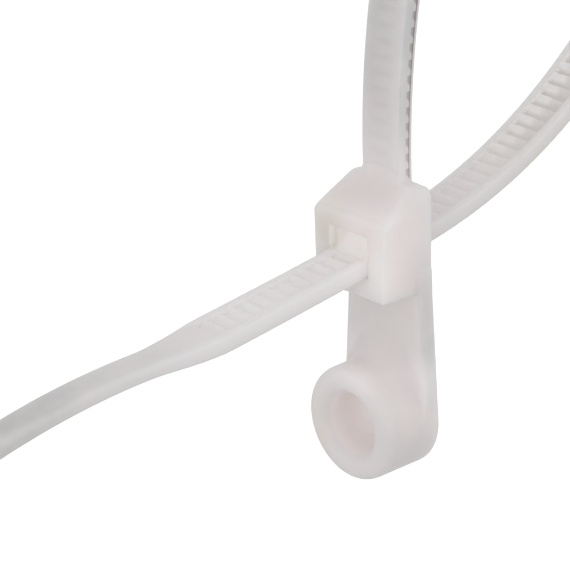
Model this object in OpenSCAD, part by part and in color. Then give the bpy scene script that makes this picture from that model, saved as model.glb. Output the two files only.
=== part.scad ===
// Eyelet mount cable tie: strap, locking head and screw eyelet moulded in one piece,
// with the strap closed in a loop and its tail drawn through the head.
// X runs across the strap, the front of the head faces -Y and Z points up.
// The origin lies on the axis of the eyelet's bore, in the plane of the flat back.

/* [Strap] */
// Width of the strap
strap_w = 4.6; // [3.6:0.1:7.8]
// Thickness of the strap over its side rails
strap_t = 1.5; // [1.2:0.05:2.2]
// Width of each smooth side rail
rail_w = 0.8; // [0.5:0.05:1.2]
// Distance from one tooth to the next
tooth_pitch = 1.35; // [1.1:0.05:2]
// Height of a tooth over the floor between the rails
tooth_depth = 0.5; // [0.3:0.05:0.7]
// How far the tips of the teeth lie below the rails
tip_below_rail = 0.12; // [0.05:0.01:0.25]

/* [Loop] */
// Lean of the strap at its root, towards the front
root_lean = 2; // [0:0.5:6]
// Bend radius of the rising part of the loop
rise_r = 78; // [60:1:120]
// Length of the rising part of the loop
rise_len = 17; // [10:0.5:24]
// Bend radius of the part that comes back to the head
return_r = 47.5; // [42:0.5:60]
// Length of the part that comes back to the head
return_len = 26; // [18:0.5:30]
// Bend radius at the far end of the loop
far_r = 18; // [17:0.5:30]

/* [Head] */
// Depth of the head, front to back
head_depth = 5.6; // [5:0.1:8]
// Wall at each side of the slot
side_wall = 1.75; // [1.2:0.05:3]
// Wall below the slot, at the front
floor_wall = 1.9; // [1.2:0.1:3]
// Wall above the slot, at the front
roof_wall = 1.25; // [0.8:0.05:2]
// Free height over the strap for the pawl
pawl_room = 2; // [1.8:0.1:3]
// Gap between the strap and the slot, all round
slot_clear = 0.15; // [0.1:0.05:0.3]
// Slope of the slot, falling to the front
slot_tilt = 8.2; // [4:0.1:12]
// Height of the crown over the front top edge
crown_rise = 2.7; // [2.2:0.1:4]
// Fall of the crown from its ridge to the flat back
crown_fall = 0.5; // [0.3:0.1:0.8]
// Rise of the side edges from front to back
shoulder_rise = 1.7; // [1:0.1:2]
// Steepness of the shoulders, as rise over run
shoulder_slope = 1.4; // [1:0.1:2]
// Rounding of the upright front edges
head_edge_r = 0.4; // [0.2:0.1:1]
// Distance from the flat back to the strap's root
root_inset = 0.3; // [0.2:0.05:0.6]
// Radius of the fillet in front of the strap's root
root_fillet = 1.2; // [0.4:0.1:1.6]

/* [Pawl] */
// Thickness of the pawl
pawl_t = 0.8; // [0.6:0.05:0.95]
// Gap between the pawl and the strap's teeth, across the teeth
pawl_gap = 0.2; // [0.15:0.05:0.3]
// Gap between the pawl and the strap's rails, at each side
pawl_side_gap = 0.15; // [0.1:0.05:0.3]
// Distance of the pawl's tip behind the front of the head
pawl_setback = 0.5; // [0.3:0.1:1]

/* [Eyelet] */
// Bore for the fixing screw
bore_d = 5.5; // [4.3:0.1:6.6]
// Wall of the eyelet around the bore, at the front
eyelet_wall = 2.25; // [1.6:0.05:3]
// Length of the eyelet along the bore
eyelet_len = 5.65; // [4:0.05:8]
// Widening of the eyelet towards the back, in degrees
eyelet_draft = 1.8; // [0:0.1:3]
// Chamfer at the front end of the bore
rim_chamfer = 0.4; // [0.2:0.05:0.6]
// Thickness of the tab between head and eyelet
tab_t = 1.5; // [1.1:0.05:2.5]
// Distance from the bore's axis to the underside of the head
reach = 12.4; // [10.5:0.1:18]

/* [Tail] */
// Width of the narrow tail
tail_w = 3; // [2:0.1:3.4]
// Thickness of the narrow tail
tail_t = 1.2; // [0.8:0.05:1.2]
// Full width length between the head and the narrowing
lead_len = 14.3; // [10:0.1:25]
// Smooth length before the narrowing, past the last tooth
smooth_len = 0.6; // [0.4:0.1:3]
// Lift of that length, in degrees
lead_lift = 0.9; // [0.2:0.1:3]
// Bent length of the narrowing
neck_bend_len = 5; // [3:0.1:8]
// Lift of the bent length, in degrees
neck_lift = 7; // [3:0.1:10]
// Straight length of the narrowing
neck_run = 2.2; // [1:0.1:5]
// Drooping length of the narrow tail
tail_droop_len = 25; // [12:0.5:28]
// Bend radius of the drooping length
tail_droop_r = 68; // [55:1:120]

/* [Hidden] */
$fn = 96;
// Overlap that fuses pieces, and how far a cut runs past the face it opens
sink = 0.1;
over = 0.3;

// Strap section: distances from the middle of its thickness, positive to the toothed face
half_t = strap_t / 2;
v_tip = half_t - tip_below_rail;
v_floor = v_tip - tooth_depth;
ladder_w = strap_w - 2 * rail_w;
tooth_land = 0.2 * tooth_pitch;
tooth_foot = 0.8 * tooth_pitch;

// Head
slot_w = strap_w + 2 * slot_clear;
head_w = slot_w + 2 * side_wall;
slot_mid_front = reach + floor_wall + (slot_clear + half_t) / cos(slot_tilt);
cavity_z = slot_mid_front + half_t + pawl_room;
front_top = cavity_z + roof_wall;
crown_z = front_top + crown_rise;
crown_back_z = crown_z - crown_fall;
crown_front_y = -root_inset - strap_t - sink;
shoulder_tilt = atan(shoulder_rise / head_depth);

// Eyelet
eyelet_r = bore_d / 2 + eyelet_wall;
eyelet_back_r = eyelet_r + eyelet_len * tan(eyelet_draft);

// The strap's middle line is a chain of pieces, each [length, bend], bend being one over the
// radius and positive towards the toothed face; a pose on it is [y, z, heading]
function go(p, l, k) = k == 0
    ? [p[0] + l * cos(p[2]), p[1] + l * sin(p[2]), p[2]]
    : let (h = p[2] - l * k * 180 / PI)
      [p[0] + (sin(p[2]) - sin(h)) / k, p[1] - (cos(p[2]) - cos(h)) / k, h];

function side(h) = [sin(h), -cos(h)];

function ahead(h) = [cos(h), sin(h)];

function cross2(a, b) = a[0] * b[1] - a[1] * b[0];

// Both ends of the loop are set by the head, in which the strap's root is sunk to a depth;
// the far bend, eased at both ends, and two straights close it
root_depth = 2.2;
root_pose = [-root_inset - half_t, crown_z - root_depth, 90 + root_lean];
back_pose = [over, slot_mid_front + (head_depth + over) * tan(slot_tilt), slot_tilt];
rise_end = go(go(root_pose, root_depth, 0), rise_len, 1 / rise_r);
return_start = go(back_pose, return_len, -1 / return_r);
turn_from = rise_end[2];
turn_to = return_start[2] - 180;
ease = 30;
ease_r = 2 * far_r;
bend_span = ease_r * (side(turn_from) - side(turn_from - ease))
    + far_r * (side(turn_from - ease) - side(turn_to + ease))
    + ease_r * (side(turn_to + ease) - side(turn_to));
open_span = [return_start[0] - rise_end[0], return_start[1] - rise_end[1]] - bend_span;
turn_det = cross2(ahead(turn_from), ahead(turn_to));
rise_straight = cross2(open_span, ahead(turn_to)) / turn_det;
return_straight = cross2(ahead(turn_from), open_span) / turn_det;
slot_len = (head_depth + 2 * over) / cos(slot_tilt);

pieces = [
    [root_depth, 0],
    [rise_len, 1 / rise_r],
    [rise_straight, 0],
    [ease * PI / 180 * ease_r, 1 / ease_r],
    [(turn_from - turn_to - 2 * ease) * PI / 180 * far_r, 1 / far_r],
    [ease * PI / 180 * ease_r, 1 / ease_r],
    [return_straight, 0],
    [return_len, 1 / return_r],
    [slot_len, 0],
    [lead_len, lead_lift * PI / 180 / lead_len],
    [neck_bend_len, neck_lift * PI / 180 / neck_bend_len],
    [neck_run, 0],
    [tail_droop_len, -1 / tail_droop_r]
];
SLOT = 8;
NECK = 10;
THIN = 12;

function walk(i) = i == 0 ? root_pose : go(walk(i - 1), pieces[i - 1][0], pieces[i - 1][1]);

function length_to(i) = i == 0 ? 0 : length_to(i - 1) + pieces[i - 1][0];

knots = [for (i = [0:len(pieces)]) walk(i)];
marks = [for (i = [0:len(pieces)]) length_to(i)];

function piece_at(s, i = 0) = i == len(pieces) - 1 || s < marks[i + 1] ? i : piece_at(s, i + 1);

function pose_at(s) = let (i = piece_at(s)) go(knots[i], s - marks[i], pieces[i][1]);

// A point at distance v from a pose, and one at length s along the strap
function at_pose(p, v) = [p[0] + v * sin(p[2]), p[1] - v * cos(p[2])];

function at(s, v) = at_pose(pose_at(s), v);

// A point in the slot, at length u from the middle of the head to the front
slot_s = marks[SLOT] + slot_len / 2;

function slot_at(u, v) = at_pose(go(pose_at(slot_s), u, 0), v);

// Where the pawl starts and ends along the slot
pawl_tip_u = (head_depth / 2 - pawl_setback) / cos(slot_tilt);
pawl_root_u = -0.18 * head_depth;
pawl_v = v_tip + pawl_gap;

// The trough between the rails runs from the crown to just before the narrowing; its teeth
// count from the tip of the pawl, which always lies just ahead of a tooth's steep side
trough_from = marks[1];
trough_to = marks[NECK] - smooth_len;

function tooth_s(j) = slot_s + pawl_tip_u + pawl_gap / 2 + j * tooth_pitch;

first_tooth = ceil((trough_from + sink - tooth_s(0)) / tooth_pitch);
last_tooth = floor((trough_to - sink - tooth_foot - tooth_s(0)) / tooth_pitch);

// Stations along the strap: its root, one in each gap between teeth, and steps in the tail
tail_step = 1.7;

function steps(i) = ceil(pieces[i][0] / tail_step);

gap_s = [for (j = [first_tooth:last_tooth - 1]) tooth_s(j) + (tooth_foot + tooth_pitch) / 2];
stations = [
    0,
    each gap_s,
    for (i = [NECK:len(pieces) - 1]) for (n = [0:steps(i) - 1]) marks[i] + pieces[i][0] * n / steps(i),
    marks[len(pieces)]
];

// The tail is thinned from the toothed side, so its outer face runs on
function inner_v(s) = s <= marks[NECK] ? half_t
    : s >= marks[THIN] ? tail_t - half_t
    : half_t - (strap_t - tail_t) * (s - marks[NECK]) / (marks[THIN] - marks[NECK]);

// Side view of the whole strap, from the root to the tip of the tail
strap_side = concat(
    [for (s = stations) at(s, -half_t)],
    [for (i = [len(stations) - 1:-1:0]) at(stations[i], inner_v(stations[i]))]
);

// Side view of the trough between the rails
trough_s = [trough_from, each gap_s, trough_to];
trough_side = concat(
    [for (s = trough_s) at(s, v_floor)],
    [for (i = [len(trough_s) - 1:-1:0]) at(trough_s[i], half_t + over)]
);

// A side view given its width across the strap
module across(w) {
    rotate([90, 0, 90])
        linear_extrude(height = w, center = true)
            children();
}

// Plan of the tail: it narrows over the neck and ends round
module tail_plan() {
    neck_y = knots[NECK][0] - over;
    thin_y = knots[THIN][0] + over;
    tip_y = knots[len(pieces)][0] + tail_w / 2 + over;
    polygon([
        [-strap_w, head_depth], [strap_w, head_depth], [strap_w, neck_y], [strap_w / 2, neck_y],
        [tail_w / 2, thin_y], [tail_w / 2, tip_y], [-tail_w / 2, tip_y], [-tail_w / 2, thin_y],
        [-strap_w / 2, neck_y], [-strap_w, neck_y]]);
    translate([0, tip_y])
        circle(d = tail_w);
}

// Toothed strap in its loop, with the narrow tail
module strap() {
    difference() {
        across(strap_w) polygon(strap_side);
        across(ladder_w) polygon(trough_side);
        linear_extrude(height = slot_mid_front + strap_t)
            difference() {
                translate([-strap_w, 2 * knots[len(pieces)][0]])
                    square([2 * strap_w, knots[NECK][0] - over - 2 * knots[len(pieces)][0]]);
                tail_plan();
            }
    }
    across(ladder_w + sink)
        for (j = [first_tooth:last_tooth])
            let (s = tooth_s(j))
                polygon([
                    at(s, v_floor - sink), at(s, v_tip), at(s + tooth_land, v_tip),
                    at(s + tooth_foot, v_floor - sink)]);
}

// Outside of the head: upright sides, a front slope up to the crown and sloping shoulders
module head_block() {
    intersection() {
        across(head_w)
            polygon([
                [-head_depth, reach], [0, reach], [0, crown_back_z],
                [crown_front_y, crown_z], [-head_depth, front_top]]);
        translate([0, -head_depth, front_top])
            rotate([shoulder_tilt, 0, 0])
                rotate([90, 0, 0])
                    linear_extrude(height = 6 * head_depth, center = true)
                        polygon([
                            [-head_w / 2, -3 * head_w], [head_w / 2, -3 * head_w], [head_w / 2, 0],
                            [head_w / 4, shoulder_slope * head_w / 4],
                            [-head_w / 4, shoulder_slope * head_w / 4], [-head_w / 2, 0]]);
        translate([0, 0, reach - over])
            head_plan(crown_z - reach + 2 * over);
    }
}

// Plan of the head, with its two front edges rounded
module head_plan(h) {
    translate([-head_w / 2, head_edge_r - head_depth, 0])
        cube([head_w, head_depth - head_edge_r, h]);
    translate([head_edge_r - head_w / 2, -head_depth, 0])
        cube([head_w - 2 * head_edge_r, head_depth, h]);
    for (x = [-1, 1])
        translate([x * (head_w / 2 - head_edge_r), head_edge_r - head_depth, 0])
            cylinder(h = h, r = head_edge_r);
}

// Way for the strap through the head, with the open room over the pawl
module slot() {
    far = head_depth;
    hinge = slot_at(pawl_root_u, half_t + slot_clear);
    across(slot_w)
        polygon([
            slot_at(far, -half_t - slot_clear), slot_at(-far, -half_t - slot_clear),
            slot_at(-far, half_t + slot_clear), hinge,
            [hinge[0], cavity_z], [-2 * head_depth, cavity_z]]);
}

// Pawl over the strap: rooted at the back of its room, its tip between the strap's teeth
module pawl() {
    root_v = half_t + slot_clear;
    heel = 0.3;
    across(ladder_w - 2 * pawl_side_gap)
        polygon([
            slot_at(pawl_root_u - heel, root_v + sink),
            slot_at(pawl_root_u - heel, root_v + 1.3 * pawl_t),
            slot_at(pawl_root_u + heel, root_v + 1.1 * pawl_t),
            slot_at(pawl_tip_u - heel, pawl_v + pawl_t),
            slot_at(pawl_tip_u, pawl_v + 0.7 * pawl_t),
            slot_at(pawl_tip_u, pawl_v),
            slot_at(pawl_tip_u - heel / 3, v_floor + pawl_gap),
            slot_at(pawl_tip_u - 0.7 * tooth_pitch, pawl_v),
            slot_at(pawl_root_u + heel, root_v + sink)]);
}

// Concave fillet between the front slope of the head and the strap's root, sunk a little in both
module root_gusset() {
    corner = at(root_depth, -half_t);
    slope = atan2(crown_z - front_top, head_depth + crown_front_y);
    from = 180 + slope;
    to = 90 + root_lean;
    mid = (from + to) / 2;
    turn = to + 180 - from;
    r = root_fillet;
    centre = corner + (r - sink / 2) / sin((from - to) / 2) * ahead(mid);
    across(strap_w - sink)
        polygon([
            corner - half_t * ahead(mid),
            for (i = [0:8]) centre + r * ahead(from + 90 + turn * i / 8)]);
}

// Tab and boss of the eyelet, flush with the flat back
module eyelet() {
    w = head_w / 2;
    h = reach;
    r = eyelet_back_r - tab_t * tan(eyelet_draft) - sink / 2;
    touch = atan2(h, w) - acos(r / norm([w, h]));
    difference() {
        union() {
            rotate([90, 0, 0])
                linear_extrude(height = tab_t)
                    polygon([
                        [-w, h + floor_wall / 2], [-w, h],
                        [-r * cos(touch), r * sin(touch)], [r * cos(touch), r * sin(touch)],
                        [w, h], [w, h + floor_wall / 2]]);
            rotate([90, 0, 0])
                cylinder(h = eyelet_len, r1 = eyelet_back_r, r2 = eyelet_r);
        }
        translate([0, over, 0])
            rotate([90, 0, 0])
                cylinder(h = eyelet_len + 2 * over, d = bore_d);
        translate([0, rim_chamfer - eyelet_len, 0])
            rotate([90, 0, 0])
                cylinder(h = rim_chamfer, d1 = bore_d, d2 = bore_d + 2 * rim_chamfer);
    }
}

module cable_tie() {
    color([0.86, 0.85, 0.83]) {
        difference() {
            head_block();
            slot();
        }
        pawl();
        strap();
        root_gusset();
        eyelet();
    }
}

cable_tie();
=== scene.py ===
from itertools import product
from math import acos, atan2, ceil, cos, floor, hypot, pi, radians, sin, tan

import bpy
import numpy as np
from mathutils import Matrix, Vector


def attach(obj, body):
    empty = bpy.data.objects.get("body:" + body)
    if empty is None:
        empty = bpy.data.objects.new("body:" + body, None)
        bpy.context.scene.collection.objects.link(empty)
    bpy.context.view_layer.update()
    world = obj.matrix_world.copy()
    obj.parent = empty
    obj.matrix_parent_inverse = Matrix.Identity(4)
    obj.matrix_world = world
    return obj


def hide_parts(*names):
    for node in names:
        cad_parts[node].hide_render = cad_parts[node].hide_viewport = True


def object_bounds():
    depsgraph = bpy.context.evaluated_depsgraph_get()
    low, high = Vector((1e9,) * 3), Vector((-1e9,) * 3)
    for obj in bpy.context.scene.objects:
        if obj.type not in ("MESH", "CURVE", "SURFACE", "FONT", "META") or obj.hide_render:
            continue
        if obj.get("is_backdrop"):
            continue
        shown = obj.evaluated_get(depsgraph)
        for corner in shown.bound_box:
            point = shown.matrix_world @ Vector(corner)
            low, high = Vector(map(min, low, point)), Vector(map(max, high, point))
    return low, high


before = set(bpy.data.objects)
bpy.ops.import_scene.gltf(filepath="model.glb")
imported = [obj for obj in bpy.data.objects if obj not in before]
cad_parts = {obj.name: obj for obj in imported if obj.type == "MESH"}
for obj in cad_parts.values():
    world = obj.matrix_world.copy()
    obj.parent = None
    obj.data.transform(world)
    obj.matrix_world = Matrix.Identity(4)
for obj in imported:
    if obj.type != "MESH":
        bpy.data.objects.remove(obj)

bl_info = {
    "name": "Eyelet Mount Cable Tie",
    "version": (1, 0, 0),
    "blender": (4, 5, 0),
    "location": "View3D > Sidebar > Cable Tie",
    "description": "Models a moulded nylon cable tie with a screw eyelet, closed in a loop, and its studio",
    "category": "Add Mesh",
}

MM = 0.001
NODE = "cable_tie"
BODY = "root"


# Settings

def length(name, millimetres, description):
    """Length setting, its default given in millimetres"""
    return bpy.props.FloatProperty(
        name=name, description=description, default=millimetres * MM, unit="LENGTH", precision=5)


def angle(name, degrees, description):
    """Angle setting, its default given in degrees"""
    return bpy.props.FloatProperty(
        name=name, description=description, default=radians(degrees), subtype="ANGLE")


def share(name, default, description):
    """Setting from 0 to 1"""
    return bpy.props.FloatProperty(
        name=name, description=description, default=default, min=0.0, max=1.0, subtype="FACTOR")


def colour(name, default, description):
    """Colour setting, linear red, green and blue"""
    return bpy.props.FloatVectorProperty(
        name=name, description=description, default=default, min=0.0, max=1.0, subtype="COLOR")


def place(name, millimetres, description):
    """Point in the frame of the part, its default given in millimetres"""
    return bpy.props.FloatVectorProperty(
        name=name, description=description, default=[c * MM for c in millimetres],
        subtype="TRANSLATION", unit="LENGTH", precision=5)


class StrapSizes(bpy.types.PropertyGroup):
    """Section of the strap and its teeth"""
    width: length("Width", 4.6, "Width of the strap")
    thickness: length("Thickness", 1.65, "Thickness over the side rails")
    rail: length("Rail", 0.8, "Width of each smooth side rail")
    pitch: length("Tooth pitch", 1.35, "Distance from one tooth to the next")
    tooth: length("Tooth height", 0.5, "Height of a tooth over the floor between the rails")
    tip_below_rail: length("Tip below rail", 0.12, "How far the tips of the teeth lie below the rails")
    outer_round: length("Outer rounding", 0.3, "Rounding of the long edges of the outer face")
    edge_round: length("Edge rounding", 0.3, "Rounding of the rails' outer edges")
    rail_round: length("Rail rounding", 0.12, "Rounding of the rails' inner edges")


class LoopSizes(bpy.types.PropertyGroup):
    """Route of the strap from its root round to the back of the head"""
    root_lean: angle("Root lean", 2, "Lean of the strap at its root, towards the front")
    rise_radius: length("Rise radius", 78, "Bend radius of the rising part")
    rise: length("Rise", 17, "Length of the rising part")
    return_radius: length("Return radius", 48.5, "Bend radius of the part that comes back")
    back: length("Return", 26, "Length of the part that comes back to the head")
    far_radius: length("Far radius", 18, "Bend radius at the far end of the loop")
    ease: angle("Ease", 30, "Turn at each end of the far bend that has twice its radius")
    twist: angle("Twist", 6, "Twist of the part that comes back, which shows more of its teeth")


class TailSizes(bpy.types.PropertyGroup):
    """Strap in front of the head"""
    width: length("Width", 3.1, "Width of the narrow tail")
    thickness: length("Thickness", 1.4, "Thickness of the narrow tail")
    edge_round: length("Edge rounding", 0.55, "Rounding of the narrow tail's upper edges")
    lead: length("Lead", 14.3, "Full width length between the head and the narrowing")
    lead_lift: angle("Lead lift", 0.9, "Lift of that length")
    bend: length("Neck bend", 5, "Bent length of the narrowing")
    bend_lift: angle("Neck lift", 7, "Lift of the bent length")
    run: length("Neck run", 2.2, "Straight length of the narrowing")
    droop: length("Droop", 25, "Drooping length of the narrow tail")
    droop_radius: length("Droop radius", 68, "Bend radius of the drooping length")
    neck_ease: length("Neck ease", 0.8, "How gently the narrowing starts and ends")
    neck_start: length("Neck start", 1.2, "How far past the start of the bent length the narrowing starts")
    ladder_fade: length("Ladder fade", 3, "Length over which the last teeth run out into the neck")


class HeadSizes(bpy.types.PropertyGroup):
    """Locking head with its slot and pawl"""
    depth: length("Depth", 5.6, "Depth of the head, front to back")
    side_wall: length("Side wall", 1.8, "Wall at each side of the slot")
    floor_wall: length("Floor wall", 1.85, "Wall below the slot, at the front")
    roof_wall: length("Roof wall", 1.25, "Wall above the slot, at the front")
    pawl_room: length("Pawl room", 2, "Free height over the strap for the pawl")
    slot_clear: length("Slot gap", 0.15, "Gap between the strap and the slot, all round")
    side_clear: length("Side gap", -0.03, "Gap beside the strap in the slot; below 0 they overlap")
    slot_depth: length("Slot gap depth", 0.35, "How deep the gap around the strap is open at both ends")
    slot_tilt: angle("Slot slope", 8.2, "Slope of the slot, falling to the front")
    crown_rise: length("Crown rise", 2.7, "Height of the crown over the front top edge")
    crown_fall: length("Crown fall", 0.5, "Fall of the crown from its ridge to the back")
    shoulder_rise: length("Shoulder rise", 1.7, "Rise of the side edges from front to back")
    shoulder_slope: bpy.props.FloatProperty(
        name="Shoulder slope", description="Steepness of the shoulders, as rise over run", default=1.6)
    taper: length("Taper", 0.15, "How much narrower each side is at the front's lower edge")
    edge_round: length("Edge rounding", 0.25, "Rounding of the head's edges")
    mouth_round: length("Mouth rounding", 0.12, "Rounding of the slot's edges")
    root_inset: length("Root inset", 0.05, "Distance from the flat back to the strap's root")
    root_depth: length("Root depth", 2.2, "How deep the strap's root is sunk below the crown")
    root_fillet: length("Root fillet", 1.2, "Fillet around the strap's root")
    pawl_gap: length("Pawl gap", -0.1, "Gap between pawl and teeth; below 0 they overlap")
    pawl_side_gap: length("Pawl side gap", 0.35, "Gap between the pawl and the sides of its room")
    pawl_setback: length("Pawl setback", 0.35, "Distance of the pawl's tip behind the front")
    pawl_toe: length("Pawl toe", 0.6, "How far the slope at the pawl's foot runs out over the teeth")
    room_depth: length("Room depth", 0.6, "Depth of the open room around the pawl's tip")


class EyeletSizes(bpy.types.PropertyGroup):
    """Tab and boss with the screw bore"""
    bore: length("Bore", 5.5, "Bore for the fixing screw")
    wall: length("Wall", 2.48, "Wall around the bore, at the front")
    length: length("Length", 6.1, "Length along the bore")
    draft: angle("Draft", 0.8, "Widening of the boss towards the back")
    rim_round: length("Rim rounding", 0.95, "Rounding of the boss's front rim")
    bore_round: length("Bore rounding", 1.3, "Rounding of the bore's front rim")
    tab: length("Tab", 1.5, "Thickness of the tab between head and boss")
    tab_round: length("Tab rounding", 0.35, "Rounding of the tab's front edges")
    tab_fillet: length("Tab fillet", 2.0, "Fillet between the tab and the boss")
    reach: length("Reach", 12.4, "Distance from the bore's axis to the underside of the head")


class NylonFinish(bpy.types.PropertyGroup):
    """Look of the milky nylon, with the colours of its painted light and shade"""
    body: colour("Body", (0.85, 0.797, 0.803), "Colour of the thick mouldings")
    # The thin strap's grey, which is also the colour that painted shade on the strap, head, tab and boss
    # turns to
    thin: colour("Thin", (0.50, 0.507, 0.515), "Colour of the thin strap")
    # Painted light: the colour that the lit tooth tops, the slot and its room, the bore and the patches by
    # the slot and on the boss turn to
    painted_light: colour("Pale", (1.0, 0.907, 0.89), "Colour of the palest teeth, the slot and the patch around it")
    warm: colour("Warm", (0.86, 0.74, 0.72), "Warm tint of the cloudy patches")
    cool: colour("Cool", (0.74, 0.77, 0.72), "Cool tint of the cloudy patches")
    honey: colour("Honey", (0.79, 0.737, 0.665), "Colour of the warm patches of the head and the boss")
    # Painted shade: the colour of the corner beside the pawl
    pocket_shade: colour("Pocket", (0.857, 0.842, 0.803), "Colour of the shaded corner beside the pawl")
    cloud_size: length("Cloud size", 3.5, "Size of the cloudy patches")
    clouding: share("Clouding", 0.25, "Strength of the cloudy patches")
    # Painted shade: the dark of the shaded gaps between the teeth, painted where they show through
    gap: colour("Gap", (0.18, 0.16, 0.16), "Colour of the gaps between teeth where they show through")
    teeth_shade: share("Teeth shade", 1.0, "How much the gaps between teeth show through the rising strap")
    roughness: share("Roughness", 0.5, "Roughness of the satin surface")
    gloss: share("Gloss", 0.3, "Strength of the reflections, 0.5 for plain nylon")
    scatter: share("Scatter", 1.0, "Share of the light that scatters below the surface")
    scatter_depth: length("Scatter depth", 4.0, "Depth that light reaches below the surface")
    grain_size: length("Grain size", 0.12, "Size of the fine mould texture")
    grain: length("Grain height", 0.006, "Height of the fine mould texture")


class StageSettings(bpy.types.PropertyGroup):
    """Camera, light and floor"""
    camera: place("Camera", (121.1726, -117.9723, 81.4429), "Where the camera stands")
    target: place("Target", (-6.5916, -7.0756, 11.6774), "Point in the middle of the picture")
    roll: angle("Roll", 1.548, "Clockwise turn of the camera about its axis")
    focal_length: bpy.props.FloatProperty(
        name="Focal length", description="Focal length of the lens", default=132.43, unit="CAMERA")
    floor_drop: length("Floor drop", 40, "Distance from the lowest point of the tie to the floor")
    floor_size: length("Floor size", 3000, "Side of the floor")
    floor: colour("Floor", (0.70, 0.70, 0.70), "Colour of the floor")
    floor_lift: share("Floor lift", 0.60, "How much whiter the camera sees the floor")
    sky: share("Sky", 0.69, "Strength of the light from all round")


SETTINGS = {
    "tie_strap": StrapSizes,
    "tie_loop": LoopSizes,
    "tie_tail": TailSizes,
    "tie_head": HeadSizes,
    "tie_eyelet": EyeletSizes,
    "tie_nylon": NylonFinish,
    "tie_stage": StageSettings,
}


# Smooth change

def ease_between(t, low, high):
    """0 below low, 1 above high, and a smooth rise between them"""
    t = np.clip((t - low) / (high - low), 0, 1)
    return t * t * (3 - 2 * t)


# Middle line of the strap

def go(pose, run, bend):
    """Pose (y, z, heading) after a run along an arc whose bend, one over its radius, is positive
    towards the toothed face"""
    y, z, heading = pose
    if bend == 0:
        return y + run * np.cos(heading), z + run * np.sin(heading), heading + 0 * run
    after = heading - run * bend
    y = y + (np.sin(heading) - np.sin(after)) / bend
    z = z - (np.cos(heading) - np.cos(after)) / bend
    return y, z, after


def side(heading):
    """Direction from the middle line to the toothed face"""
    return np.array((sin(heading), -cos(heading)))


def ahead(heading):
    """Direction along the middle line"""
    return np.array((cos(heading), sin(heading)))


def cross(a, b):
    """Cross product of two directions in side view"""
    return a[0] * b[1] - a[1] * b[0]


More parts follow.
